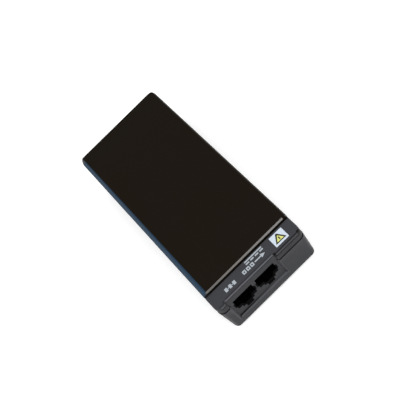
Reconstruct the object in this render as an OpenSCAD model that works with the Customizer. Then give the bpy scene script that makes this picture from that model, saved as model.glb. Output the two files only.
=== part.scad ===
// Power-over-Ethernet injector: a mains brick with two side-by-side modular jacks at
// the front end and a mains inlet at the rear end, opened up into its separate pieces.
// Units are millimetres. +Z is up, the length runs along Y and the jacks face -Y.
// The origin is the centre of the footprint, on the surface the feet stand on.

/* [Case] */
// Overall width of the case
body_w = 53.8; // [52:0.1:58]
// Overall length, jack end to inlet end
body_l = 120.4; // [120:0.1:136]
// Overall height, feet to label
body_h = 32; // [32:0.5:36]
// Height of the parting line between the two shells
seam_z = 23.2; // [23:0.1:23.6]
// Wall thickness of both shells
wall = 2; // [1.8:0.1:2.2]
// Radius of the vertical corners
corner_r = 3; // [2:0.5:4]
// Radius of the bottom edges
edge_r = 2.2; // [0.8:0.1:2.4]
// Inward draft of the lower shell's sides, over their whole height
draft = 0.5; // [0:0.05:0.8]
// Height of the shadow gap between the two shells
gap_h = 0.7; // [0.4:0.1:0.8]

/* [Top face] */
// Depth of the low strip in front of the label plateau
strip_l = 10; // [9:0.1:10.5]
// Height of the label plateau above the strip
step_h = 1.75; // [1.5:0.05:1.9]
// Thickness of the label films
film = 0.25; // [0.2:0.05:0.3]

/* [Jacks] */
// Sideways position of the pair of jacks
jack_x = -6; // [-6.5:0.05:-4.5]
// Pitch between the two ganged jacks
jack_pitch = 13.97; // [13.5:0.01:14.5]
// Width of a plug opening
port_w = 11.8; // [11.7:0.05:12]
// Height of the top of a plug opening
port_top = 24; // [23.8:0.1:24.2]
// Depth of the recess of the jack panel behind the front face
recess = 1.2; // [0.8:0.1:1.3]
// Downward slope of the contact springs at rest, in degrees
spring_slope = 16; // [14:1:17]

/* [Mains inlet] */
// Height of the inlet's centre line
inlet_z = 16; // [15.5:0.1:16.4]
// Width of the inlet's cavity
inlet_w = 24.6; // [24.4:0.1:25]
// Height of the inlet's cavity
inlet_h = 16.8; // [16.6:0.1:17.2]

/* [Circuit board] */
// Height of the board's underside
pcb_z = 9.4; // [9:0.1:9.4]
// Thickness of the board
pcb_t = 1.6; // [1.2:0.2:1.6]

/* [Hidden] */
eps = 0.01;
$fn = 64;

foot_h = 0.8;                      // how far the feet stand out of the case
foot_r = 4;
foot_y = body_l / 2 - 8.5;
foot_x = body_w / 2 - 7;

front = -body_l / 2;
rear = body_l / 2;
top_z = body_h - film;             // plateau surface under the label
strip_z = top_z - step_h;          // surface of the low strip
step_y = front + strip_l;          // foot of the plateau's front bevel
bevel_y = 0.7;                     // run of the plateau's front bevel
shoulder_w = 1.8;                  // run of the plateau's left bevel
shoulder_h = 2.1;                  // drop of the plateau's left bevel
narrow_w = 0.6;                    // run of the plateau's right bevel
narrow_h = 0.9;                    // drop of the plateau's right bevel
border_t = 0.3;                    // where the pale border starts on the front bevel
up_in = 0.2;                       // the upper shell stands this far inside the lower one
floor_z = foot_h + wall;
ceil_z = strip_z - wall;
lip_h = 1.6;                       // locating lip along the parting line
lip_t = 0.8;

pcb_top = pcb_z + pcb_t;
pcb_w = body_w - 2 * wall - 2;
pcb_front = front + 3.1;
pcb_rear = rear - 27.5;

panel_x0 = jack_x - 14.95;          // jack panel: a tongue of the upper shell
panel_x1 = jack_x + 15.4;
panel_z0 = 8.3;
panel_t = 1.3;
panel_y = front + recess;          // outer face of the panel
panel_gap = 0.15;
foot_gap = 0.35;                   // gap under the panel's lower edge
win_z = [24.4, 14.6, 12.8, 10];    // heights of the corners of a panel window
win_w = [5.95, 6.75, 3.6, 2.05];    // half widths: body, ears, both latch steps
flare = 1.0;                       // run of the recess's sloped side walls

port_h = 6.8;                      // height of the plug opening without its latch notch
notch_w = [6, 4.6];                // widths of the two steps of the latch notch
notch_d = [1.6, 1.4];              // heights of those steps
jack_y0 = panel_y + panel_t + 0.1; // front of the jack housing
jack_l = 16;
jack_w = jack_pitch + 14.9;
jack_top = 26.4;
cavity_l = 12.8;

wire = 0.36;                       // side of the square contact wire
wire_pitch = 1.02;
spring_l = 8;
pivot_y = jack_y0 + 1.7;           // bend at the root of the contact springs
pivot_z = port_top + 0.35;
pivot_r = 0.34;

inlet_wall = 1.8;
inlet_y0 = rear - 21;              // back of the inlet body, inside the case
inlet_floor = 4;                   // thickness of the inlet's moulded base
inlet_cut = 5;                     // size of the two sloped corners of the cavity

screw_pos = [[-21, -34], [21, -34], [-21, 42], [21, 42]];
boss_r = 3;
split_z = 16;                      // lower and upper screw bosses meet here
head_z = 8;                        // seat of the screw heads
peg_pos = [[16, -50], [-20.4, -20], [20.4, 12], [-20.4, 28], [20.4, 28]];

// quarter arc of facets about [x, z], from the angle a
function fillet(x, z, r, a) =
    [for (i = [0 : 5]) [x + r * cos(a + 18 * i), z + r * sin(a + 18 * i)]];

// section of the bottom shell, rounded below and eased at the parting line
function tray_pts(a) = let (c = a - draft - edge_r)
    concat(fillet(-c, foot_h + edge_r, edge_r, 180), fillet(c, foot_h + edge_r, edge_r, 270),
    [[a, seam_z - 0.2], [a - 0.2, seam_z], [0.2 - a, seam_z], [-a, seam_z - 0.2]]);

// thin outline lying on the slope from p up to q, t thick
function skin(p, q, t) = let (d = q - p, n = [-d.y, d.x] / norm(d) * t, a = p + d * 0.08)
    [a, q, q + n, a + n];

// rounded rectangle in plan, centred on the origin
module rrect(w, l, r) {
    square([w - 2 * r, l], center = true);
    square([w, l - 2 * r], center = true);
    for (x = [-1, 1], y = [-1, 1])
        translate([x * (w / 2 - r), y * (l / 2 - r)]) circle(r);
}

// prism standing on z0, from a plan outline
module plate(w, l, r, z0, z1) {
    translate([0, 0, z0]) linear_extrude(z1 - z0) rrect(w, l, r);
}

// block between two corner points
module block(a, b) {
    translate(a) cube(b - a);
}

// prism along X from a [y, z] outline
module along_x(x0, x1, pts) {
    translate([x0, 0, 0]) rotate([90, 0, 90]) linear_extrude(x1 - x0) polygon(pts);
}

// prism along Y from an [x, z] outline
module along_y(y0, y1, pts) {
    translate([0, y1, 0]) rotate([90, 0, 0]) linear_extrude(y1 - y0) polygon(pts);
}

// outline points of a plug opening seen from the front, about its centre line
function port_pts(g) = let (z1 = port_top + g, z2 = port_top - port_h - g,
        z3 = z2 - notch_d[0], z4 = z3 - notch_d[1], a = port_w / 2 + g,
        b = notch_w[0] / 2 + g, c = notch_w[1] / 2 + g)
    [[-a, z1], [-a, z2], [-b, z2], [-b, z3], [-c, z3], [-c, z4],
     [c, z4], [c, z3], [b, z3], [b, z2], [a, z2], [a, z1]];

// outline of a panel window: wider than the plug opening, with an ear on either side
function window_pts(g) = let (a = win_w[0] + g, e = win_w[1] + g, b = win_w[2] + g,
        c = win_w[3] + g, half = [[e, 21.2 + g / 2], [e, 17.1 - g / 2], [a, 16.6 - g / 2],
        [a, win_z[1] - g], [b, win_z[1] - g], [b, win_z[2] - g], [c, win_z[2] - g],
        [c, win_z[3] - g]], n = len(half) - 1)
    concat([[-a, win_z[0] + g], [a, win_z[0] + g], [a, 21.7 + g / 2]], half,
        [for (i = [n : -1 : 0]) [-half[i].x, half[i].y]], [[-a, 21.7 + g / 2]]);

module at_jacks() {
    for (s = [-1, 1]) translate([jack_x + s * jack_pitch / 2, 0, 0]) children();
}

// outline of the mains cavity, with two sloped corners at the top
function inlet_pts(g) = let (a = inlet_w / 2 + g, b = inlet_h / 2 + g, c = inlet_cut)
    [[-a, inlet_z - b], [a, inlet_z - b], [a, inlet_z + b - c], [a - c, inlet_z + b],
     [c - a, inlet_z + b], [-a, inlet_z + b - c]];

// room in front of the jack panel, wider at the front face than at the panel
module panel_recess(z0, z1) {
    k = flare / recess;
    translate([0, 0, z0]) linear_extrude(z1 - z0)
        polygon([[panel_x0, panel_y], [panel_x0 - flare - k, front - 1],
            [panel_x1 + flare + k, front - 1], [panel_x1, panel_y]]);
}

// rounding of the strip's front edge above the jack panel
module strip_edge() {
    along_x(panel_x0, panel_x1, [[panel_y - 1, strip_z - 0.7], [panel_y, strip_z - 0.7],
        [panel_y + 0.06, strip_z - 0.4], [panel_y + 0.21, strip_z - 0.21],
        [panel_y + 0.4, strip_z - 0.06], [panel_y + 0.7, strip_z],
        [panel_y + 0.7, strip_z + 1], [panel_y - 1, strip_z + 1]]);
}

// fine shadow lines under the strip's edge, one over the panel and one on either stub
module shadow_lines() {
    block([panel_x0, panel_y - 1, 28.65], [panel_x1, panel_y + 0.5, 29.1]);
    for (x = [[-24.6, panel_x0 - flare - 0.5], [panel_x1 + flare + 0.3, 24.6]])
        block([x[0], front - 1, 27.65], [x[1], front + up_in + 0.5, 28.1]);
}

// top shell: low strip at the jack end, raised label plateau, jack panel tongue
module upper_shell() {
    w = body_w - 2 * up_in;
    l = body_l - 2 * up_in;
    a = w / 2;
    c = 0.8;
    z0 = seam_z + gap_h;
    color([0.27, 0.28, 0.29]) {
        difference() {
            union() {
                intersection() {
                    plate(w, l, corner_r, z0, strip_z);
                    along_y(-l / 2, l / 2, concat([[-a, 0], [a, 0]],
                        fillet(a - c, strip_z - c, c, 0), fillet(c - a, strip_z - c, c, 90)));
                    along_x(-a, a, concat([[-l / 2, 0], [l / 2, 0]],
                        fillet(l / 2 - c, strip_z - c, c, 0),
                        fillet(c - l / 2, strip_z - c, c, 90)));
                }
                intersection() {
                    plate(w, l, corner_r, strip_z - 1.2, top_z);
                    along_y(-l / 2, l / 2, [[-a, 0], [a, 0], [a, top_z - narrow_h],
                        [a - narrow_w, top_z], [shoulder_w - a, top_z],
                        [-a, top_z - shoulder_h]]);
                    along_x(-a, a, [[step_y, 0], [l / 2, 0], [l / 2, top_z - 0.6],
                        [l / 2 - 0.4, top_z], [step_y + bevel_y, top_z],
                        [step_y, strip_z]]);
                }
            }
            // inside of the shell
            plate(w - 2 * wall, l - 2 * wall, corner_r - 1, seam_z - 1, ceil_z);
            // room for the lower shell's lip
            plate(w - 2 * wall + 2 * lip_t + 0.4, l - 2 * wall + 2 * lip_t + 0.4,
                corner_r - 1, seam_z - 1, seam_z + lip_h + 0.2);
            // groove at the foot of the plateau
            block([-a - 1, step_y - 0.8, strip_z - 1.3],
                [a + 1, step_y + border_t * bevel_y, strip_z + border_t * step_h]);
            // recess in front of the jack panel
            panel_recess(seam_z - 1, body_h);
            // opening for the mains inlet
            along_y(rear - 5, rear + 1, inlet_pts(inlet_wall + 0.2));
            strip_edge();
            shadow_lines();
        }
        // jack panel
        difference() {
            block([panel_x0 + panel_gap, panel_y, panel_z0 + foot_gap],
                [panel_x1 - panel_gap, panel_y + panel_t, strip_z - 1]);
            at_jacks() along_y(front - 1, front + 5, window_pts(0));
            shadow_lines();
        }
        // bosses that take the case screws
        for (p = screw_pos) translate([p.x, p.y, split_z]) difference() {
            cylinder(h = ceil_z - split_z + 0.5, r = boss_r);
            translate([0, 0, -1]) cylinder(h = 11, r = 1.35);
        }
    }
}

// post that rounds a corner of the lower shell, with its draft and bottom edge
module corner_post() {
    r = corner_r;
    c = r - draft - edge_r;
    rotate_extrude() polygon(concat([[0, foot_h - 2], [c, foot_h - 2]],
        fillet(c, foot_h + edge_r, edge_r, 270),
        [[r, seam_z - 0.2], [r - 0.2, seam_z], [r - 0.2, seam_z + 1], [0, seam_z + 1]]));
}

// bottom shell: tray with the cut-out for the jack panel, bosses and board pegs
module lower_shell() {
    a = body_w / 2;
    b = body_l / 2;
    iw = body_w - 2 * wall - 2 * up_in;
    il = body_l - 2 * wall - 2 * up_in;
    color([0.29, 0.30, 0.31]) {
        difference() {
            union() {
                intersection() {
                    along_y(-b, b, tray_pts(a));
                    along_x(-a, a, tray_pts(b));
                }
                plate(iw + 2 * lip_t, il + 2 * lip_t, corner_r - 1, seam_z - 1, seam_z + lip_h);
            }
            // rounded corners
            for (q = [[1, 1, 0], [-1, 1, 90], [-1, -1, 180], [1, -1, 270]])
                translate([q.x * (a - corner_r), q.y * (b - corner_r), 0]) rotate(q.z)
                    difference() {
                        block([0, 0, foot_h - 1], [corner_r + 1, corner_r + 1, seam_z + 0.5]);
                        corner_post();
                    }
            plate(iw, il, corner_r - 1.4, floor_z, seam_z + lip_h + 1);
            block([panel_x0, front - 1, panel_z0], [panel_x1, front + 4, body_h]);
            panel_recess(panel_z0, body_h);
            // sloped sill under the panel
            along_x(panel_x0, panel_x1, [[panel_y, panel_z0], [panel_y - 2, panel_z0 - 1.5],
                [panel_y - 2, panel_z0 + 1], [panel_y, panel_z0 + 1]]);
            along_y(rear - 5, rear + 1, inlet_pts(inlet_wall + 0.2));
            block([-10, rear - 5, inlet_z], [10, rear + 1, body_h]);
            // recesses for the feet
            for (x = [-1, 1], y = [-1, 1]) translate([x * foot_x, y * foot_y, foot_h - 1])
                cylinder(h = 1.8, r = foot_r + 0.1);
            // recess for the rating label
            block([-19, -31, foot_h - 1], [19, 31, foot_h + 0.3]);
            for (p = screw_pos) translate([p.x, p.y, foot_h - 1]) cylinder(h = 4, r = 2.9);
        }
        // bosses with a deep counterbore for each screw
        for (p = screw_pos) translate([p.x, p.y, 0]) difference() {
            translate([0, 0, foot_h]) cylinder(h = split_z - foot_h, r = boss_r + 0.6);
            translate([0, 0, -1]) cylinder(h = head_z + 1, r = 2.9);
            cylinder(h = split_z + 1, r = 1.6);
        }
        // pegs that carry the board
        for (p = peg_pos) translate([p.x, p.y, floor_z - 0.1]) {
            cylinder(h = pcb_z - floor_z + 0.1, r = 2.6);
            cylinder(h = pcb_top - floor_z + 0.7, r = 1.1);
        }
    }
}

// dark film over the plateau and its right edge, tucked into the groove at the front
module top_label() {
    a = body_w / 2 - up_in;
    y0 = step_y + bevel_y;
    y1 = rear - up_in - 0.45;
    yg = step_y + border_t * bevel_y;
    color([0.11, 0.10, 0.09]) {
        intersection() {
            along_y(y0, y1, [[1 - a, top_z], [a - narrow_w, top_z],
                [a - 0.05, top_z - 0.825], [a + 0.05, top_z - 0.758],
                [a - narrow_w - 0.022, top_z + film], [1 - a, top_z + film]]);
            translate([0, 0, top_z - 2]) linear_extrude(4) intersection() {
                rrect(2 * a + 0.1, 2 * y1, 2.9);
                polygon([[2.6 - a, y0 - 1], [a + 1, y0 - 1], [a + 1, y1 + 1], [2.1 - a, y1 + 1]]);
            }
        }
        block([2.4 - a, yg - 0.12, strip_z - 1.2], [a - 0.6, yg, strip_z + 0.5]);
        along_x(24.5, a - 0.65, skin([yg, strip_z + border_t * step_h], [y0, top_z], 0.1));
    }
}

// blue edge of the label, laid over the left shoulder
module label_side_band() {
    a = body_w / 2 - up_in;
    y0 = step_y + bevel_y;
    y1 = rear - 3.4;
    color([0.20, 0.28, 0.36]) {
        along_y(step_y + 0.1, y1, skin([-a, top_z - shoulder_h], [shoulder_w - a, top_z], 0.1));
        translate([0, 0, top_z]) linear_extrude(0.1) polygon([[1.75 - a, y0], [2.57 - a, y0],
            [2.07 - a, y1], [1.75 - a, y1]]);
    }
}

// pale edge of the label, laid over the upper part of the plateau's front bevel
module label_front_border() {
    yg = step_y + border_t * bevel_y;
    color([0.55, 0.54, 0.51]) along_x(-24.4, 24.4,
        skin([yg, strip_z + border_t * step_h], [step_y + bevel_y, top_z], 0.1));
}

// pad-printed port symbols: linked boxes for data; bar over dashes and boxes with an
// arrow for power
module port_markings() {
    t = 0.08;
    left = jack_x - jack_pitch / 2 - 1.3;
    color([0.8, 0.82, 0.86]) translate([0, front, strip_z]) {
        for (i = [-1 : 1]) translate([left + i * 2.5 - 0.75, 3.9, 0]) cube([1.5, 2, t]);
        for (i = [-1, 1]) translate([left + i * 1.25 - 0.4, 4.7, 0]) cube([0.8, 0.4, t]);
        translate([-2.4, 8, 0]) cube([10.8, 0.7, t]);
        for (i = [0 : 3]) translate([-2.4 + i * 2.9, 6.8, 0]) cube([2.1, 0.7, t]);
        for (i = [0 : 2]) translate([-6.2 + i * 2.5, 4, 0]) difference() {
            cube([1.9, 1.9, t]);
            translate([0.6, 0.6, -1]) cube([0.7, 0.7, 2]);
        }
        translate([1.4, 4.65, 0]) cube([4.8, 0.6, t]);
        translate([5.4, 3.85, 0]) linear_extrude(t) polygon([[0, 0], [2.4, 1.1], [0, 2.2]]);
    }
}

module at_sticker() {
    translate([17.05, front + 5.35, strip_z]) rotate(-0.7) children();
}

// white backing of the caution sticker
module caution_sticker() {
    color([0.88, 0.90, 0.95]) at_sticker() translate([-3.9, -3.1, 0]) cube([7.8, 6.1, 0.1]);
}

// dark triangular frame with a plain bar, printed on the sticker
module caution_outline() {
    color([0.18, 0.19, 0.15]) at_sticker() translate([0, 0, 0.1]) linear_extrude(0.05) {
        difference() {
            polygon([[-3.15, -2.1], [3.15, -2.1], [0.35, 2.3], [-0.35, 2.3]]);
            polygon([[-2.05, -1.57], [2.05, -1.57], [0, 1.35]]);
        }
        translate([-0.3, -1.15]) square([0.6, 1.55]);
    }
}

// yellow field inside the frame
module caution_triangle() {
    color([0.92, 0.90, 0.40]) at_sticker() translate([0, 0, 0.1]) linear_extrude(0.05)
        difference() {
            polygon([[-2, -1.54], [2, -1.54], [0, 1.31]]);
            translate([-0.33, -1.18]) square([0.66, 1.61]);
        }
}

// blank film in the recess of the underside
module rating_label() {
    color([0.78, 0.79, 0.80]) block([-18.7, -30.7, foot_h + 0.1], [18.7, 30.7, foot_h + 0.3]);
}

module rubber_feet() {
    color([0.06, 0.06, 0.06]) for (x = [-1, 1], y = [-1, 1])
        translate([x * foot_x, y * foot_y, 0]) {
            cylinder(h = foot_h + 0.8, r = foot_r - 0.4);
            translate([0, 0, 0.35]) cylinder(h = foot_h + 0.45, r = foot_r);
        }
}

// four self-tapping case screws with cross recesses
module case_screws() {
    color([0.62, 0.62, 0.60]) for (p = screw_pos) translate([p.x, p.y, 0]) difference() {
        union() {
            translate([0, 0, head_z - 2]) cylinder(h = 2, r = 2.7);
            translate([0, 0, head_z - 0.5]) cylinder(h = 16, r = 1.3);
        }
        for (r = [0, 90]) rotate(r) translate([-1.5, -0.3, head_z - 3]) cube([3, 0.6, 2]);
    }
}

// ganged two-port jack moulding
module jack_housing() {
    x0 = jack_x - jack_w / 2;
    x1 = jack_x + jack_w / 2;
    y1 = jack_y0 + jack_l;
    color([0.05, 0.05, 0.055]) difference() {
        union() {
            block([x0, jack_y0, pcb_top], [x1, y1, jack_top]);
            // noses that fill the panel windows round the plug openings
            at_jacks() along_y(panel_y + 0.12, jack_y0 + 0.5, window_pts(-0.12));
            for (x = [-9, 9]) translate([jack_x + x, jack_y0 + 8, pcb_z - 0.8])
                cylinder(h = 4, r = 1.5);
        }
        at_jacks() {
            along_y(panel_y - 1, jack_y0 + cavity_l, port_pts(0));
            // pocket that the contact springs rise into
            block([-4.5, jack_y0 + 0.9, port_top - 0.2],
                [4.5, jack_y0 + cavity_l, port_top + 1.25]);
            // channel for the leads at the back
            block([-4.5, jack_y0 + cavity_l - 0.1, port_top + 0.5],
                [4.5, y1 + 1, port_top + 1.25]);
        }
    }
}

// eight spring wires of one jack, sloping down from their bend at the front
module spring_set(x) {
    for (i = [0 : 7]) translate([x + (i - 3.5) * wire_pitch, pivot_y, pivot_z])
        rotate([-spring_slope, 0, 0]) {
            translate([-wire / 2, 0, 0]) rotate([0, 90, 0]) cylinder(h = wire, r = pivot_r);
            translate([-wire / 2, 0, -wire / 2]) cube([wire, spring_l, wire]);
        }
}

module left_jack_springs() {
    color([0.83, 0.66, 0.30]) spring_set(jack_x - jack_pitch / 2);
}

module right_jack_springs() {
    color([0.83, 0.66, 0.30]) spring_set(jack_x + jack_pitch / 2);
}

// fixed part of the contact wires: along the roof, down the back, into the board
module jack_leads() {
    z = pivot_z + pivot_r + 0.06;
    y1 = jack_y0 + jack_l + 0.3;
    color([0.80, 0.64, 0.30]) at_jacks() for (i = [0 : 7])
        translate([(i - 3.5) * wire_pitch - wire / 2, 0, 0]) {
            block([0, pivot_y - 0.3, z], [wire, y1 + wire, z + wire]);
            block([0, y1, pcb_z - 0.6], [wire, y1 + wire, z + wire]);
        }
}

// moulded mains inlet, open to the rear
module inlet_body() {
    color([0.06, 0.06, 0.065]) difference() {
        along_y(inlet_y0, rear - 0.3, inlet_pts(inlet_wall));
        along_y(inlet_y0 + inlet_floor, rear + 1, inlet_pts(0));
        for (p = [[-7, -2], [7, -2], [0, 2]])
            block([p.x - 1.02, inlet_y0 - 1, inlet_z + p.y - 2.02],
                [p.x + 1.02, rear, inlet_z + p.y + 2.02]);
    }
}

// line, neutral and earth blades, each running on into a solder tab
module inlet_pins() {
    color([0.75, 0.75, 0.72]) for (p = [[-7, -2], [7, -2], [0, 2]])
        translate([p.x, 0, inlet_z + p.y]) {
            block([-1, inlet_y0 - 0.5, -2], [1, rear - 3.2, 2]);
            along_y(rear - 3.2, rear - 2.4, [[-0.7, -1.7], [0.7, -1.7], [0.7, 1.7], [-0.7, 1.7]]);
            block([-0.4, inlet_y0 - 4, -1.6], [0.4, inlet_y0 - 0.5, 1.6]);
        }
}

// square lead from an inlet tab down to the board: x is its plane, z the tab's offset
module mains_lead(x, z) {
    t = 0.8;
    ya = inlet_y0 - 2.2;
    yb = pcb_rear - 2;
    zh = pcb_top + 0.9;
    zt = max(inlet_z + z - 1.2, zh + t + 0.1);
    along_x(x - t, x + t, [[ya - t, zt], [ya + t, zt], [ya + t, zh - t], [yb + t, zh - t],
        [yb + t, pcb_z - 0.8], [yb - t, pcb_z - 0.8], [yb - t, zh + t], [ya - t, zh + t]]);
}

module live_lead() {
    color([0.35, 0.18, 0.08]) mains_lead(7, -2);
}

module neutral_lead() {
    color([0.10, 0.22, 0.60]) mains_lead(-7, -2);
}

module earth_lead() {
    color([0.20, 0.55, 0.15]) mains_lead(0, 2);
}

// glass-epoxy board with clearance round the bosses, pegs, leads and jack pegs
module main_pcb() {
    color([0.10, 0.32, 0.16]) difference() {
        block([-pcb_w / 2, pcb_front, pcb_z], [pcb_w / 2, pcb_rear, pcb_top]);
        for (p = screw_pos) translate([p.x, p.y, pcb_z - 1]) {
            cylinder(h = 4, r = boss_r + 1);
            translate([p.x > 0 ? 0 : -6, -boss_r - 1, 0]) cube([6, 2 * boss_r + 2, 4]);
        }
        for (p = peg_pos) translate([p.x, p.y, pcb_z - 1]) cylinder(h = 4, r = 1.3);
        for (x = [-7, 0, 7]) translate([x, pcb_rear - 2, pcb_z - 1]) cylinder(h = 4, r = 1.25);
        for (x = [-9, 9]) translate([jack_x + x, jack_y0 + 8, pcb_z - 1]) cylinder(h = 4, r = 1.6);
        at_jacks() block([-4.4, jack_y0 + jack_l + 0.1, pcb_z - 1],
            [4.4, jack_y0 + jack_l + 0.9, pcb_top + 1]);
    }
}

module fuse() {
    color([0.12, 0.12, 0.12]) translate([19, 20, pcb_top + 0.4]) {
        cylinder(h = 7.6, r = 3.8);
        for (y = [-2, 2]) translate([0, y, -1.6]) cylinder(h = 1.8, r = 0.35);
    }
}

module varistor() {
    color([0.16, 0.30, 0.62]) translate([-19.3, 21, pcb_top + 5.4]) rotate([0, 90, 0]) {
        cylinder(h = 3.6, r = 4.6);
        for (y = [-2.5, 2.5]) translate([4, y, 1.8]) rotate([0, 90, 0]) cylinder(h = 3, r = 0.35);
    }
}

module x_capacitor() {
    color([0.80, 0.72, 0.25]) block([-13.5, 9.5, pcb_top + 0.2], [-2.5, 16, pcb_top + 12.5]);
}

// ferrite ring of the mains filter, standing on edge
module choke_core() {
    color([0.16, 0.16, 0.17]) translate([-8, 20, pcb_top + 8]) rotate([-90, 0, 0])
        difference() {
            cylinder(h = 6, r = 6.2);
            translate([0, 0, -1]) cylinder(h = 8, r = 3.2);
        }
}

module choke_windings() {
    color([0.72, 0.40, 0.18]) translate([-8, 23, pcb_top + 8])
        for (s = [-1, 1], a = [-40 : 20 : 40]) rotate([0, a + (s > 0 ? 0 : 180), 0])
            translate([4.7, 0, 0]) difference() {
                cube([4.2, 7.2, 1], center = true);
                cube([3.1, 6.1, 2], center = true);
            }
}

module bridge_rectifier() {
    color([0.08, 0.08, 0.08]) {
        block([2, 25.4, pcb_top + 0.4], [17, 28.8, pcb_top + 10.5]);
        for (i = [0 : 3]) block([4 + i * 3.7, 26.9, pcb_z - 0.4],
            [4.8 + i * 3.7, 27.4, pcb_top + 0.5]);
    }
}

// large electrolytic lying on the board
module bulk_capacitor() {
    r = 7.6;
    color([0.07, 0.08, 0.10]) translate([6.8, 7.6, pcb_top + r + 0.2]) rotate([-90, 0, 0])
        difference() {
            cylinder(h = 16.5, r = r);
            translate([0, 0, 16.2]) cylinder(h = 1, r = r - 1);
            translate([0, 0, 14]) rotate_extrude() translate([r + 0.35, 0]) circle(0.8);
        }
}

// ferrite E-core pair
module transformer_core() {
    y0 = -4;
    color([0.15, 0.15, 0.16]) difference() {
        block([-12.5, y0 - 5, pcb_top + 3.4], [12.5, y0 + 5, pcb_top + 16.6]);
        for (s = [-1, 1]) translate([s * 6.6, y0, pcb_top + 10])
            cube([6, 12, 8.4], center = true);
    }
}

module transformer_bobbin() {
    y0 = -4;
    color([0.06, 0.06, 0.06]) {
        for (s = [-1, 1]) block([-10.5, y0 + s * 8 - 1.9, pcb_top + 0.3],
            [10.5, y0 + s * 8 + 1.9, pcb_top + 3.2]);
        for (s = [-1, 1]) block([-9.3, y0 + s * 8 - 1.9, pcb_top + 3.1],
            [9.3, y0 + s * 8 + 1.9, pcb_top + 6]);
        for (s = [-1, 1], i = [-2 : 2]) translate([i * 4, y0 + s * 8, pcb_z - 0.4])
            cylinder(h = 3, r = 0.35);
    }
}

module transformer_winding() {
    y0 = -4;
    color([0.82, 0.66, 0.20]) difference() {
        block([-9.3, y0 - 8.5, pcb_top + 6.2], [9.3, y0 + 8.5, pcb_top + 13.8]);
        block([-3.9, y0 - 5.3, pcb_top + 3], [3.9, y0 + 5.3, pcb_top + 15]);
    }
}

// transistor in a tabbed package, standing against its heat sink
module tabbed_package() {
    block([-4.8, 0.2, 3.5], [4.8, 4.4, 12.2]);
    difference() {
        block([-4.8, 0.2, 12.1], [4.8, 1.5, 16.8]);
        translate([0, -1, 14.8]) rotate([-90, 0, 0]) cylinder(h = 4, r = 1.6);
    }
    for (i = [-1 : 1]) block([i * 2.54 - 0.35, 2.2, -2], [i * 2.54 + 0.35, 2.7, 3.6]);
}

module power_transistor() {
    color([0.10, 0.10, 0.11]) translate([-17.8, 2, pcb_top]) rotate(-90) tabbed_package();
}

module output_diode() {
    color([0.10, 0.10, 0.11]) translate([17.8, -19, pcb_top]) rotate(90) tabbed_package();
}

// folded aluminium plate, l long, with its screw hole drilled at x
module heatsink(l, x) {
    difference() {
        union() {
            block([-l / 2, -1.8, 0.3], [l / 2, 0, 16.8]);
            block([-l / 2, -3.3, 15.4], [l / 2, -1.7, 16.8]);
        }
        translate([x, -3, 14.8]) rotate([-90, 0, 0]) cylinder(h = 4, r = 1.3);
    }
}

module primary_heatsink() {
    color([0.70, 0.71, 0.73]) translate([-17.8, 2, pcb_top]) rotate(-90) heatsink(20, 0);
}

module secondary_heatsink() {
    color([0.70, 0.71, 0.73]) translate([17.8, -17, pcb_top]) rotate(90) heatsink(20, -2);
}

module heatsink_screws() {
    color([0.62, 0.62, 0.60])
        for (p = [[-17.8, 2, -90], [17.8, -19, 90]]) translate([p.x, p.y, pcb_top + 14.8])
            rotate(p[2]) rotate([-90, 0, 0]) {
                translate([0, 0, 1.55]) cylinder(h = 1.8, r = 2.2);
                translate([0, 0, -1.6]) cylinder(h = 3.4, r = 1.2);
            }
}

module y_capacitor() {
    color([0.18, 0.36, 0.70]) translate([-20, -12, pcb_top + 5]) rotate([0, 90, 0]) {
        cylinder(h = 3.4, r = 4);
        for (y = [-2.2, 2.2]) translate([3, y, 1.7]) rotate([0, 90, 0]) cylinder(h = 3.4, r = 0.3);
    }
}

module optocoupler() {
    color([0.09, 0.09, 0.09]) {
        block([-15.5, -14, pcb_top + 0.3], [-11.5, -9.6, pcb_top + 3.6]);
        for (x = [-16, -11.5], y = [-13.2, -10.8])
            block([x, y, pcb_z - 0.3], [x + 0.5, y + 0.4, pcb_top + 2]);
    }
}

module control_chips() {
    color([0.08, 0.08, 0.085]) {
        block([-15, -21.5, pcb_top + 0.1], [-11.1, -16.6, pcb_top + 1.6]);
        block([-4, -22, pcb_top + 0.1], [1, -17, pcb_top + 1.2]);
        for (i = [0 : 3], x = [-16, -11.2])
            block([x, -21.1 + i * 1.27, pcb_top], [x + 1.1, -20.7 + i * 1.27, pcb_top + 0.4]);
    }
}

module output_capacitors() {
    color([0.10, 0.11, 0.16]) for (y = [-34.6, -25.8]) translate([8.6, y, pcb_top + 0.2])
        difference() {
            cylinder(h = 15, r = 4);
            translate([0, 0, 14.7]) cylinder(h = 1, r = 3.2);
            translate([0, 0, 2]) rotate_extrude() translate([4.3, 0]) circle(0.6);
        }
}

module data_magnetics() {
    color([0.07, 0.07, 0.075]) {
        block([-14, -37.5, pcb_top + 0.3], [3, -26, pcb_top + 6]);
        for (i = [0 : 5], y = [-38.5, -26.1]) block([-12.6 + i * 2.6, y, pcb_top],
            [-12 + i * 2.6, y + 1.1, pcb_top + 0.5]);
    }
}

module chip_resistors() {
    color([0.12, 0.12, 0.13]) {
        for (i = [0 : 4]) block([-13 + i * 2.6, -24.7, pcb_top],
            [-11.4 + i * 2.6, -23.6, pcb_top + 0.6]);
        for (i = [0 : 3]) block([11.5, -47.5 + i * 2.4, pcb_top],
            [13.5, -46.3 + i * 2.4, pcb_top + 0.6]);
    }
}

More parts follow.
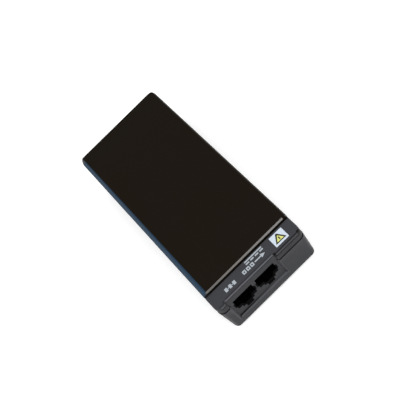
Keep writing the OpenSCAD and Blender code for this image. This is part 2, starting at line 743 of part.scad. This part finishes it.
upper_shell();
lower_shell();
top_label();
label_side_band();
label_front_border();
port_markings();
caution_sticker();
caution_triangle();
caution_outline();
rating_label();
rubber_feet();
case_screws();
jack_housing();
left_jack_springs();
right_jack_springs();
jack_leads();
inlet_body();
inlet_pins();
live_lead();
neutral_lead();
earth_lead();
main_pcb();
fuse();
varistor();
x_capacitor();
choke_core();
choke_windings();
bridge_rectifier();
bulk_capacitor();
transformer_core();
transformer_bobbin();
transformer_winding();
power_transistor();
primary_heatsink();
y_capacitor();
optocoupler();
control_chips();
output_diode();
secondary_heatsink();
heatsink_screws();
output_capacitors();
data_magnetics();
chip_resistors();
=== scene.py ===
import math

import bpy
from mathutils import Matrix, Vector

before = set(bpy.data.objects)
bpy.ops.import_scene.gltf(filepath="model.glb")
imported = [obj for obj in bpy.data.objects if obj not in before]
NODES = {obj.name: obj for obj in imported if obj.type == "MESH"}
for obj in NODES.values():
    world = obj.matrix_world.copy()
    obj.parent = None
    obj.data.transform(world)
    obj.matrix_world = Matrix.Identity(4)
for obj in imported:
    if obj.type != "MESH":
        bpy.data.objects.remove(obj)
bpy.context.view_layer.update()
MM = 0.001
X, Y, Z = 0, 1, 2
UP = (0, 0, 1)


# ---------------------------------------------------------------- node helpers
class Tree:
    """A new material's node tree, with short calls for the nodes that are used here."""

    def __init__(self, name):
        self.mat = bpy.data.materials.new(name)
        self.mat.use_nodes = True
        self.tree = self.mat.node_tree
        self.tree.nodes.clear()
        output = self.tree.nodes.new("ShaderNodeOutputMaterial")
        self.shader = self.tree.nodes.new("ShaderNodeBsdfPrincipled")
        self.link(self.shader.outputs[0], output.inputs["Surface"])
        self.place = self.tree.nodes.new("ShaderNodeTexCoord").outputs["Object"]
        self.axes = self.node("ShaderNodeSeparateXYZ", Vector=self.place).outputs

    def link(self, source, socket):
        self.tree.links.new(source, socket)

    def fill(self, socket, value):
        """Links a socket to another one, or sets its value."""
        if isinstance(value, bpy.types.NodeSocket):
            self.link(value, socket)
        else:
            socket.default_value = value

    def node(self, kind, **sockets):
        """A node with its input sockets filled by name, an underscore standing for a space."""
        node = self.tree.nodes.new(kind)
        for name, value in sockets.items():
            self.fill(node.inputs[name.replace("_", " ")], value)
        return node

    def surface(self, color=None, rough=None, normal=None, spec=None):
        """Fills the shader's own sockets."""
        for name, value in (("Base Color", color), ("Roughness", rough), ("Normal", normal),
                            ("Specular IOR Level", spec)):
            if value is not None:
                self.fill(self.shader.inputs[name], value)

    def noise(self, scale, detail=3.0, rough=0.55, stretch=None):
        place = self.place
        if stretch:
            place = self.node("ShaderNodeMapping", Vector=place, Scale=stretch).outputs[0]
        return self.node("ShaderNodeTexNoise", Vector=place, Scale=scale, Detail=detail,
                         Roughness=rough).outputs[0]

    def pits(self, scale):
        return self.node("ShaderNodeTexVoronoi", Vector=self.place, Scale=scale).outputs["Distance"]

    def ramp(self, value, stops):
        node = self.node("ShaderNodeValToRGB", Fac=value)
        for element, (position, color) in zip(node.color_ramp.elements, stops):
            element.position = position
            element.color = (*color, 1)
        return node.outputs[0]

    def rescale(self, value, low, high, to_low, to_high):
        """low..high of the value becomes to_low..to_high, and it stays inside that."""
        node = self.node("ShaderNodeMapRange", Value=value)
        for i, number in enumerate((low, high, to_low, to_high), start=1):
            node.inputs[i].default_value = number
        return node.outputs[0]

    def math(self, operation, a, b):
        node = self.tree.nodes.new("ShaderNodeMath")
        node.operation = operation
        self.fill(node.inputs[0], a)
        self.fill(node.inputs[1], b)
        return node.outputs[0]

    def times(self, a, b):
        return self.math("MULTIPLY", a, b)

    def mix(self, factor, a, b):
        """Colour a where the factor is 0, colour b where it is 1."""
        node = self.tree.nodes.new("ShaderNodeMix")
        node.data_type = "RGBA"
        self.fill(node.inputs[0], factor)
        for i, color in ((6, a), (7, b)):
            self.fill(node.inputs[i], (*color, 1) if isinstance(color, tuple) else color)
        return node.outputs[2]

    def bump(self, height, strength, distance):
        return self.node("ShaderNodeBump", Height=height, Strength=strength,
                         Distance=distance).outputs[0]

    def along(self, normal, direction):
        """How far a normal and a direction agree, 1 for the same way."""
        node = self.tree.nodes.new("ShaderNodeVectorMath")
        node.operation = "DOT_PRODUCT"
        self.fill(node.inputs[0], normal)
        self.fill(node.inputs[1], direction)
        return node.outputs["Value"]

    def surface_normal(self):
        return self.tree.nodes.new("ShaderNodeNewGeometry").outputs["Normal"]

    def edges(self, radius=0.5 * MM):
        """1 on edges, falling to 0 a little way into the flats."""
        bevel = self.node("ShaderNodeBevel", Radius=radius)
        bevel.samples = 4
        return self.rescale(self.along(bevel.outputs[0], self.surface_normal()), 0.995, 0.86, 0.0, 1.0)

    def crevice(self, reach=1.2 * MM, low=0.35, high=0.8):
        """1 deep in gaps and corners, 0 on open surfaces."""
        node = self.node("ShaderNodeAmbientOcclusion", Distance=reach)
        node.samples = 8
        return self.rescale(node.outputs["AO"], low, high, 1.0, 0.0)

    def facing(self, direction, low, high):
        """1 where the surface faces a fixed direction, 0 where it turns away."""
        way = Vector(direction).normalized()
        return self.rescale(self.along(self.surface_normal(), way), low, high, 0.0, 1.0)

    def block(self, *ranges, soft=0.03):
        """1 inside (axis, low, high[, softness]) ranges in millimetres, 0 outside."""
        inside = None
        for axis, low, high, *own in ranges:
            blur = own[0] if own else soft
            for edge, ends in ((low, (0.0, 1.0)), (high, (1.0, 0.0))):
                step = self.rescale(self.axes[axis], (edge - blur) * MM, (edge + blur) * MM, *ends)
                inside = step if inside is None else self.times(inside, step)
        return inside


def shade(color, factor, lift=0.0):
    """The colour made lighter or darker, never past white."""
    return tuple(min(1, c * factor + lift) for c in color)


# ---------------------------------------------------------------- kinds of surface
def plastic(name, base, rough=0.5, grain=0.35, spec=0.3, wear=0.5, painted_crevice_shade=0.9,
            dust_and_top_light=0.0, painted_shade=None, pale=None, painted_edge_highlights=(), painted_face_light=()):
    """Spark-eroded moulded plastic: fine leathery grain, faint mottling, worn edges.

    The top-light amount lightens faces that look up: painted top light, broken up a little by
    the mottle. The shade patches and the pale patches are each (strength, softness,
    ranges...) in millimetres: painted shade, and painted highlights or plain lightening.
    The edge highlights paint the edges that look a given way bright, as (strength,
    direction). Whole faces that look a given way get painted light, as (strength, direction,
    low, high). Gaps and corners get painted shade, as strong as the crevice shade amount.
    """
    m = Tree(name)
    cloud = m.noise(scale=90, detail=4, rough=0.6)
    fine = m.noise(scale=1500, detail=3, rough=0.6)
    body = m.ramp(cloud, [(0.3, shade(base, 0.95)), (0.7, shade(base, 1.05))])
    body = m.mix(m.rescale(fine, 0.35, 0.75, 0.0, 0.22), body, shade(base, 0.6))
    worn = m.times(m.edges(), m.rescale(m.noise(420), 0.4, 0.62, 0.3, 1.0))
    body = m.mix(m.times(worn, wear), body, shade(base, 2.2, 0.001))
    # Painted top light: faces that look up are made lighter.
    if dust_and_top_light:
        painted_top_light = m.times(m.facing(UP, 0.1, 0.95), m.rescale(cloud, 0.3, 0.7, 0.85, 1.0))
        body = m.mix(painted_top_light, body, shade(base, 1 + dust_and_top_light))
    # Lighter patches: painted highlights, and plain lightening.
    for strength, soft, *ranges in (pale or {}).values():
        body = m.mix(m.times(m.block(*ranges, soft=soft), strength), body, shade(base, 2))
    # Painted highlights on the edges that look a given way, broken up by the fine noise.
    highlight_breakup = m.rescale(fine, 0.3, 0.7, 0.75, 1.0)
    for strength, way in painted_edge_highlights:
        edge_highlight = m.times(m.times(m.facing(way, 0.9, 0.98), highlight_breakup), strength)
        body = m.mix(edge_highlight, body, shade(base, 4.2))
    # Painted shade in gaps and corners, from the crevice mask.
    deep = m.times(m.crevice(), painted_crevice_shade)
    # Painted light on whole faces that look a given way; these faces lose their painted crevice shade.
    for strength, way, low, high in painted_face_light:
        face = m.facing(way, low, high)
        body = m.mix(m.times(face, strength), body, shade(base, 2))
        deep = m.times(deep, m.math("SUBTRACT", 1.0, face))
    # Painted shade patches: shadow in grooves, gaps, corners and under parts.
    for strength, soft, *ranges in (painted_shade or {}).values():
        deep = m.math("MAXIMUM", deep, m.times(m.block(*ranges, soft=soft), strength))
    gloss = m.rescale(cloud, 0.3, 0.7, rough - 0.05, rough + 0.06)
    height = m.math("ADD", m.times(fine, 0.7), m.times(m.pits(2600), 0.6))
    m.surface(color=m.mix(deep, body, shade(base, 0.02)),
              rough=m.math("SUBTRACT", gloss, m.times(worn, 0.12)),
              normal=m.bump(height, grain, 0.12 * MM), spec=spec)
    return m.mat


def film(name, base, rough=0.4, spec=0.3, streak=0.02, side_fade=None):
    """Printed plastic film: faint print mottle, handling haze, orange peel.

    side_fade is the film's brightness at its left and right ends.
    """
    m = Tree(name)
    dots = m.noise(scale=900, detail=2, rough=0.5)
    haze = m.noise(scale=55, detail=5, rough=0.65, stretch=(1.0, 0.35, 1.0))
    warm = tuple(c * f for c, f in zip(base, (1 + streak, 1 - streak * 0.2, 1 - streak)))
    cool = tuple(c * f for c, f in zip(base, (1 - streak, 1 + streak * 0.2, 1 + streak)))
    body = m.mix(m.rescale(m.noise(28, 3, 0.5), 0.35, 0.65, 0.0, 1.0), warm, cool)
    body = m.mix(m.rescale(dots, 0.4, 0.7, 0.0, 0.15), body, shade(base, 1.3, 0.001))
    if side_fade:
        body = m.mix(m.rescale(m.axes[X], -24 * MM, 24 * MM, *side_fade), (0, 0, 0), body)
    scuff = m.times(m.rescale(haze, 0.5, 0.7, 0.0, 1.0), 0.1)
    m.surface(color=body,
              rough=m.math("ADD", m.rescale(dots, 0.3, 0.7, rough - 0.03, rough + 0.03), scuff),
              normal=m.bump(m.noise(700, 2, 0.5), 0.06, 0.1 * MM), spec=spec)
    return m.mat


def ink(name, base, rough=0.5):
    """Pad print: slightly patchy opaque ink."""
    m = Tree(name)
    patch = m.noise(scale=1300, detail=4, rough=0.7)
    m.surface(color=m.mix(m.rescale(patch, 0.3, 0.55, 0.55, 0.0), base, shade(base, 0.55)),
              rough=m.rescale(patch, 0.3, 0.7, rough - 0.1, rough + 0.1),
              normal=m.bump(patch, 0.2, 0.05 * MM))
    return m.mat


def metal(name, base, rough=0.3, stretch=(1, 1, 1), dirt=0.4):
    """Plated or brushed metal with fine drag lines, tarnish and smudged gloss."""
    m = Tree(name)
    lines = m.noise(scale=1600, detail=3, rough=0.6, stretch=stretch)
    stain = m.times(m.rescale(m.noise(260, 5, 0.7), 0.5, 0.72, 0.0, 1.0), dirt)
    gloss = m.rescale(lines, 0.3, 0.7, rough - 0.07, rough + 0.1)
    m.surface(color=m.mix(stain, base, shade(base, 0.45)),
              rough=m.math("ADD", gloss, m.times(stain, 0.3)),
              normal=m.bump(lines, 0.12, 0.06 * MM))
    m.shader.inputs["Metallic"].default_value = 1.0
    return m.mat


def rubber(name, base):
    """Soft moulded rubber: matt, with dusted high spots."""
    m = Tree(name)
    dust_and_top_light = m.noise(scale=340, detail=5, rough=0.7)
    m.surface(color=m.mix(m.rescale(dust_and_top_light, 0.52, 0.75, 0.0, 0.35), base, (0.16, 0.155, 0.15)),
              rough=m.rescale(dust_and_top_light, 0.3, 0.7, 0.7, 0.92),
              normal=m.bump(m.noise(2200, 3, 0.6), 0.35, 0.12 * MM), spec=0.3)
    return m.mat


def circuit_board(name):
    """Solder mask with copper tracks showing faintly underneath."""
    m = Tree(name)
    tracks = m.node("ShaderNodeTexBrick", Vector=m.place, Scale=220.0, Mortar_Size=0.09,
                    Color1=(0.012, 0.075, 0.03, 1), Color2=(0.016, 0.1, 0.042, 1),
                    Mortar=(0.03, 0.17, 0.07, 1)).outputs[0]
    weave = m.noise(scale=1900, detail=2, rough=0.5)
    m.surface(color=m.mix(m.rescale(weave, 0.4, 0.7, 0.0, 0.3), tracks, (0.008, 0.05, 0.02)),
              rough=m.rescale(weave, 0.3, 0.7, 0.25, 0.45), normal=m.bump(tracks, 0.15, 0.05 * MM))
    return m.mat


# The rating film's printed field, in millimetres of its own X and Y.
FIELD_LEFT, FIELD_RIGHT = -15.5, 15.5
LINE = 0.9
RULE = 0.3
OUTLINE = 0.5


def printed_bars():
    """Rows, rules and an upright bar pattern as (left, right, low, high)."""
    bars = [(FIELD_LEFT, 4, 24, 26.2), (FIELD_LEFT, -5, 8, 9.2)]
    bars += [(FIELD_LEFT, end, low, low + LINE)
             for end, low in ((11, 20.4), (8, 18.2), (12.5, 16), (2, 5.6), (-1, 3.4))]
    bars += [(FIELD_LEFT, FIELD_RIGHT, low, low + RULE) for low in (11.6, -0.2, -13)]
    for i in range(22):
        left = FIELD_LEFT + 1.15 * i
        bars.append((left, left + (0.7 if i % 3 else 0.35), -24, -16.5))
    return bars


def printed_boxes():
    """One wide box, and three small ones in a row, as (left, right, low, high)."""
    return [(6, FIELD_RIGHT, 3, 9.2)] + [(left, left + 6, -9, -3) for left in (FIELD_LEFT, -7.5, 0.5)]


def printed_signs():
    """A square, one dash and two dashes, one sign for each small box."""
    return [(-13.8, -11.2, -7.3, -4.7), (-5.8, -3.2, -6.3, -5.7),
            (2.2, 4.8, -7.3, -6.7), (2.2, 4.8, -5.3, -4.7)]


def blank_plate(name):
    """Rating film: silver-grey ground, thin frame, plain bars and boxes, no lettering."""
    m = Tree(name)

    def rect(left, right, low, high):
        return m.block((X, left, right), (Y, low, high))

    def inner(left, right, low, high, wall):
        return left + wall, right - wall, low + wall, high - wall

    mottle = m.noise(scale=240, detail=4, rough=0.6)
    ground = m.ramp(mottle, [(0.3, (0.50289, 0.51492, 0.53948)), (0.7, (0.56471, 0.57758, 0.5972))])
    frame_edge = (-17.6, 17.6, -29.6, 29.6)
    marks = m.math("SUBTRACT", rect(*frame_edge), rect(*inner(*frame_edge, RULE)))
    for bar in printed_bars() + printed_boxes():
        marks = m.math("MAXIMUM", marks, rect(*bar))
    for box in printed_boxes():
        marks = m.math("SUBTRACT", marks, rect(*inner(*box, OUTLINE)))
    for sign in printed_signs():
        marks = m.math("MAXIMUM", marks, rect(*sign))
    marks = m.times(marks, m.rescale(m.noise(1400), 0.3, 0.5, 0.75, 1.0))
    m.surface(color=m.mix(marks, ground, (0.02, 0.02, 0.022)),
              rough=m.rescale(mottle, 0.3, 0.7, 0.33, 0.44),
              normal=m.bump(m.noise(700, 2, 0.5), 0.06, 0.1 * MM))
    return m.mat


# ---------------------------------------------------------------- the two shells
# Places in millimetres. The front face is at y -60.2, the recessed jack panel's face at
# y -59 and the top of the strip at z 30. BEYOND is past the case on every side.
BEYOND = 62
FRONT_FACES = (Y, -BEYOND, -59.2)
FRONT_GROOVES = (Y, -60.14, -59.2)
PANEL_FACE = (Y, -59.3, -58)
BEHIND_FRONT = (Y, -60.0, -59.2)
RECESS_LIPS = (Y, -61, -58.4)
STRIP_TOP = (Z, 29.8, 30.2)
STRIP_EDGE = (Z, 29.5, 30.2)
SIDE_GROOVES = (Z, 27.6, 28.15)
PARTING_GAP = (Z, 23.0, 24.05)
ALONG_WINDOWS = (Z, 7, 21.5)
LEFT_HALF_FADING = (X, -30, -8, 7)

# Ways that the edges with painted highlights and the faces with painted light look.
FRONT_EDGE = (0, -1, 0.65)
FRONT_LEDGE = (0, -1, 1)
RIGHT_RIM = (1, -0.1, 0.9)
LEFT_RIM = (-1, -0.1, 0.9)
LEFT_LIP = (1, -0.83, 0)
RIGHT_LIP = (-1, -0.83, 0)

# Painted shade on the upper shell: shadow in the grooves, the parting gap and the corners, at the
# panel's foot and between the windows, and shaded strips beside the edge highlights.
UPPER_PAINTED_SHADE = {
    "groove over the panel": (1.0, 0.03, (Z, 28.6, 29.15), FRONT_GROOVES, (X, -21.5, 10)),
    "groove left of it": (1.0, 0.03, SIDE_GROOVES, FRONT_GROOVES, (X, -27, -20)),
    "groove right of it": (1.0, 0.03, SIDE_GROOVES, FRONT_GROOVES, (X, 9, 27)),
    "gap right of the panel": (1.0, 0.05, PARTING_GAP, FRONT_FACES, (X, 10.8, 28)),
    "gap left of the panel": (1.0, 0.05, PARTING_GAP, FRONT_FACES, (X, -28, -22)),
    "gap round the rest": (1.0, 0.05, PARTING_GAP, (Y, -56, BEYOND)),
    "foot of the panel": (1.0, 0.1, LEFT_HALF_FADING, (Y, -59.4, -58), (Z, 8.2, 9.7)),
    "corner right of the panel": (1.0, 0.2, (X, 9.5, 10.8), (Y, -61, -58.8), (Z, 27.6, 31)),
    "right front corner": (1.0, 0.25, (X, 24.3, 28), (Y, -61, -58.7), (Z, 26.6, 31)),
    "corner left of the panel": (0.5, 0.25, (X, -22.0, -20.9), (Y, -59.6, -58.2), (Z, 29.0, 31)),
    "behind the panel's edge": (0.55, 0.15, (X, -20, 9), (Y, -58.3, -57.95), STRIP_TOP),
    "behind the right edge": (0.8, 0.15, (X, 10.6, 24.5), BEHIND_FRONT, STRIP_EDGE),
    "behind the left edge": (0.6, 0.15, (X, -25, -21.8), BEHIND_FRONT, STRIP_EDGE),
    "web between the windows": (0.25, 0.2, (X, -6.5, -5.5), (Z, 16.3, 22.2), PANEL_FACE),
}
# Lighter patches on the upper shell: a painted glint on the left stub's corner, and the panel made a
# little lighter.
UPPER_PALE = {
    "painted glint at the left": (1.2, 0.3, (X, -24.1, -23.0), (Y, -61, -59.8), (Z, 28.3, 29.7)),
    "panel": (0.12, 0.5, (X, -22, 10), (Y, -59.3, -57.8), (Z, 8, 28)),
}
# Painted shade on the lower shell: in the parting gap, along the foot of the walls and under the
# panel.
LOWER_PAINTED_SHADE = {
    "gap": (1.0, 0.05, (Z, 23.08, 24.5)),
    "foot of the walls": (0.85, 0.35, (Z, 1.2, 3.2)),
    "under the panel": (0.95, 0.1, (X, -30, -6, 8), (X, -22.3, 30), (Y, -59.15, -56), (Z, 7.8, 9)),
}
# Painted light on the lower shell: brighter towards the top of the walls, and painted highlights on
# the lips of the recess.
LOWER_PALE = {
    "top of the walls": (0.32, 2.5, (Z, 20.0, 40.0)),
    "left lip of the recess": (0.9, 0.15, (X, -22.3, -21.6), RECESS_LIPS, ALONG_WINDOWS),
    "right lip of the recess": (0.9, 0.15, (X, 9.5, 10.2), RECESS_LIPS, ALONG_WINDOWS),
}

SHELL = (0.0232, 0.0237, 0.0265)
# Low specular level, and half-strength painted shade in gaps and corners.
SHELL_FINISH = dict(spec=0.08, painted_crevice_shade=0.5)


def upper_shell(name):
    # Painted top light, painted shade, lighter patches, and painted highlights on the front edge and
    # both rims.
    return plastic(name, SHELL, dust_and_top_light=0.8, painted_shade=UPPER_PAINTED_SHADE, pale=UPPER_PALE,
                   painted_edge_highlights=[(1.3, FRONT_EDGE), (0.6, RIGHT_RIM), (0.25, LEFT_RIM)],
                   **SHELL_FINISH)


def lower_shell(name):
    # Painted top light, painted shade, lighter patches, painted highlights on the front ledge and
    # right rim, and painted light on the recess lips.
    return plastic(name, shade(SHELL, 1.12), dust_and_top_light=0.3, painted_shade=LOWER_PAINTED_SHADE, pale=LOWER_PALE,
                   painted_edge_highlights=[(0.5, FRONT_LEDGE), (0.25, RIGHT_RIM)],
                   painted_face_light=[(0.9, LEFT_LIP, 0.94, 0.99), (1.0, RIGHT_LIP, 0.9, 0.97)], **SHELL_FINISH)


# ---------------------------------------------------------------- a material for each node
def paint(obj, material):
    obj.data.materials.clear()
    obj.data.materials.append(material)


def cover(name, kind, *colors, **finish):
    """Gives a CAD node its own material of one kind of surface."""
    paint(NODES[name], kind(name, *colors, **finish))


GOLD = (0.78, 0.53, 0.2)
STEEL = (0.58, 0.57, 0.55)
ALUMINIUM = (0.76, 0.77, 0.79)
FERRITE = (0.03, 0.03, 0.032)
DRAWN_ALONG_Y = (1, 6, 1)

cover("upper_shell", upper_shell)
cover("lower_shell", lower_shell)
cover("top_label", film, (0.0075, 0.0047, 0.0024), rough=0.38, spec=0.06, streak=0.05)
cover("label_side_band", film, (0.0148, 0.038, 0.0685), rough=0.42, spec=0.08, streak=0.03)
cover("label_front_border", film, (0.21, 0.2, 0.19), rough=0.42, spec=0.2, side_fade=(0.68, 1.05))
cover("port_markings", ink, (0.36, 0.4, 0.44))
cover("caution_sticker", film, (0.53, 0.59, 0.67), streak=0.01)
cover("caution_triangle", film, (0.63, 0.63, 0.18))
cover("caution_outline", film, (0.02, 0.022, 0.011))
cover("rating_label", blank_plate)
cover("rubber_feet", rubber, (0.018, 0.018, 0.019))
cover("case_screws", metal, STEEL)

cover("jack_housing", plastic, (0.0006, 0.0005, 0.0008), rough=0.6, grain=0.12, spec=0.01, wear=0.1)
for side in ("left", "right"):
    cover(side + "_jack_springs", metal, GOLD, rough=0.2, stretch=DRAWN_ALONG_Y, dirt=0.08)
cover("jack_leads", metal, GOLD, rough=0.24, stretch=DRAWN_ALONG_Y, dirt=0.1)

cover("inlet_body", plastic, (0.013, 0.013, 0.014), rough=0.34, grain=0.1, spec=0.45)
cover("inlet_pins", metal, (0.72, 0.7, 0.66), rough=0.22, stretch=(1, 1, 8), dirt=0.3)
for lead, colour in (("live", (0.10, 0.03, 0.01)), ("neutral", (0.01, 0.04, 0.32)),
                     ("earth", (0.04, 0.25, 0.02))):
    cover(lead + "_lead", plastic, colour, rough=0.4, grain=0.1)

cover("main_pcb", circuit_board)
cover("fuse", plastic, (0.014, 0.014, 0.015), rough=0.4, grain=0.1)
cover("varistor", plastic, (0.02, 0.07, 0.33), rough=0.35, grain=0.2)
cover("x_capacitor", plastic, (0.6, 0.48, 0.05), rough=0.4, grain=0.1)
cover("choke_core", plastic, FERRITE, grain=0.3)
cover("choke_windings", metal, (0.72, 0.28, 0.09), rough=0.28, stretch=(1, 1, 6), dirt=0.2)
cover("bulk_capacitor", film, (0.012, 0.014, 0.02), rough=0.3, spec=0.45, streak=0.05)
cover("output_capacitors", film, (0.012, 0.014, 0.03), rough=0.3, spec=0.45, streak=0.05)
cover("transformer_core", plastic, (0.03, 0.03, 0.033), grain=0.3)
cover("transformer_bobbin", plastic, (0.014, 0.014, 0.014), rough=0.45, grain=0.1)
cover("transformer_winding", film, (0.62, 0.42, 0.04), rough=0.3, spec=0.45, streak=0.05)
cover("y_capacitor", plastic, (0.02, 0.09, 0.4), rough=0.35, grain=0.2)
cover("chip_resistors", plastic, (0.02, 0.02, 0.022), rough=0.4, grain=0.1)
for package, colour in (("bridge_rectifier", (0.012, 0.012, 0.012)),
                        ("power_transistor", (0.016, 0.016, 0.017)),
                        ("output_diode", (0.016, 0.016, 0.017)),
                        ("optocoupler", (0.014, 0.014, 0.014)),
                        ("control_chips", (0.013, 0.013, 0.014)),
                        ("data_magnetics", (0.012, 0.012, 0.013))):
    cover(package, plastic, colour, rough=0.45, grain=0.2)
for sink in ("primary_heatsink", "secondary_heatsink"):
    cover(sink, metal, ALUMINIUM, rough=0.35, stretch=(8, 1, 1), dirt=0.2)
cover("heatsink_screws", metal, STEEL)


# ---------------------------------------------------------------- softened edges
def soften(obj, width):
    """Welds a CAD mesh, clears its flat triangulation and rounds its corners by width mm."""
    weld = obj.modifiers.new("weld", "WELD")
    weld.merge_threshold = 0.002 * MM
    flat = obj.modifiers.new("flat", "DECIMATE")
    flat.decimate_type = "DISSOLVE"
    flat.angle_limit = math.radians(0.6)
    bevel = obj.modifiers.new("round", "BEVEL")
    bevel.width = width * MM
    bevel.segments = 2
    bevel.limit_method = "ANGLE"
    bevel.angle_limit = math.radians(28)
    bevel.harden_normals = True
    bevel.use_clamp_overlap = True
    bevel.miter_outer = "MITER_SHARP"
    for polygon in obj.data.polygons:
        polygon.use_smooth = True
    obj.modifiers.new("normals", "WEIGHTED_NORMAL").keep_sharp = True


# Width of the rounding on each node's edges, in millimetres. The rest keep sharp edges.
EDGE_WIDTHS = {"upper_shell": 0.16, "lower_shell": 0.2, "top_label": 0.06, "label_side_band": 0.03,
               "label_front_border": 0.03, "caution_sticker": 0.03, "rating_label": 0.06,
               "rubber_feet": 0.25, "case_screws": 0.12, "jack_housing": 0.15, "inlet_body": 0.25,
               "inlet_pins": 0.12, "left_jack_springs": 0.05, "right_jack_springs": 0.05,
               "jack_leads": 0.04}
for name, width in EDGE_WIDTHS.items():
    soften(NODES[name], width)

# ---------------------------------------------------------------- floor, light and camera
scene = bpy.context.scene
scene.view_settings.view_transform = "Standard"
scene.view_settings.look = "None"


def pale_floor(half_width=3.0):
    """A plain floor that glows a little, so the object's shadow stays faint."""
    mesh = bpy.data.meshes.new("floor")
    corners = [(x * half_width, y * half_width, 0) for x, y in ((-1, -1), (1, -1), (1, 1), (-1, 1))]
    mesh.from_pydata(corners, [], [(0, 1, 2, 3)])
    floor = bpy.data.objects.new("floor", mesh)
    scene.collection.objects.link(floor)
    m = Tree("floor")
    m.surface(color=m.ramp(m.noise(3), [(0.3, (0.86, 0.86, 0.86)), (0.7, (0.9, 0.9, 0.9))]),
              rough=0.85, spec=0.1)
    m.shader.inputs["Emission Color"].default_value = (1, 1, 1, 1)
    m.shader.inputs["Emission Strength"].default_value = 0.3
    paint(floor, m.mat)
    return floor


floor = pale_floor()

world = bpy.data.worlds.new("studio")
scene.world = world
world.use_nodes = True
background = world.node_tree.nodes["Background"]
background.inputs["Color"].default_value = (1, 1, 1, 1)
background.inputs["Strength"].default_value = 0.68


def softbox(name, place, aim, size, power, colour=(1, 1, 1)):
    """A rectangular light of size metres and power watts, turned to its aim."""
    light = bpy.data.lights.new(name, "AREA")
    light.shape = "RECTANGLE"
    light.size, light.size_y = size
    light.energy = power
    light.color = colour
    box = bpy.data.objects.new(name, light)
    scene.collection.objects.link(box)
    box.location = place
    box.rotation_mode = "QUATERNION"
    box.rotation_quaternion = (Vector(aim) - Vector(place)).to_track_quat("-Z", "Y")


CASE_MIDDLE = (0, 0, 0.01)
softbox("key", place=(0.38, -0.78, 0.52), aim=(0, -0.02, 0.01), size=(0.5, 0.45), power=2.2)
softbox("top", place=(0.0, -0.35, 1.0), aim=CASE_MIDDLE, size=(0.9, 0.9), power=5.6)
softbox("left", place=(-0.85, -0.3, 0.6), aim=CASE_MIDDLE, size=(0.6, 0.8), power=1.8,
        colour=(0.96, 0.98, 1.0))


# The view, fitted to the object's edges. The tilt is measured from straight down.
CAMERA_PLACE = Vector((-1.88, -236.53, 371.91)) * MM
HEADING, TILT, ROLL = -1.4261, 33.5181, -43.3299
SENSOR_WIDTH, FOCAL_LENGTH = 36, 76.16


def photo_camera():
    """A camera with the photo's place, angles and lens."""
    data = bpy.data.cameras.new("camera")
    data.sensor_width = SENSOR_WIDTH
    data.lens = FOCAL_LENGTH
    data.clip_start = 0.01
    camera = bpy.data.objects.new("camera", data)
    scene.collection.objects.link(camera)
    camera.matrix_world = Matrix.Translation(CAMERA_PLACE)
    for degrees, axis in ((HEADING, "Z"), (TILT, "X"), (ROLL, "Z")):
        camera.matrix_world @= Matrix.Rotation(math.radians(degrees), 4, axis)
    return camera


scene.camera = photo_camera()
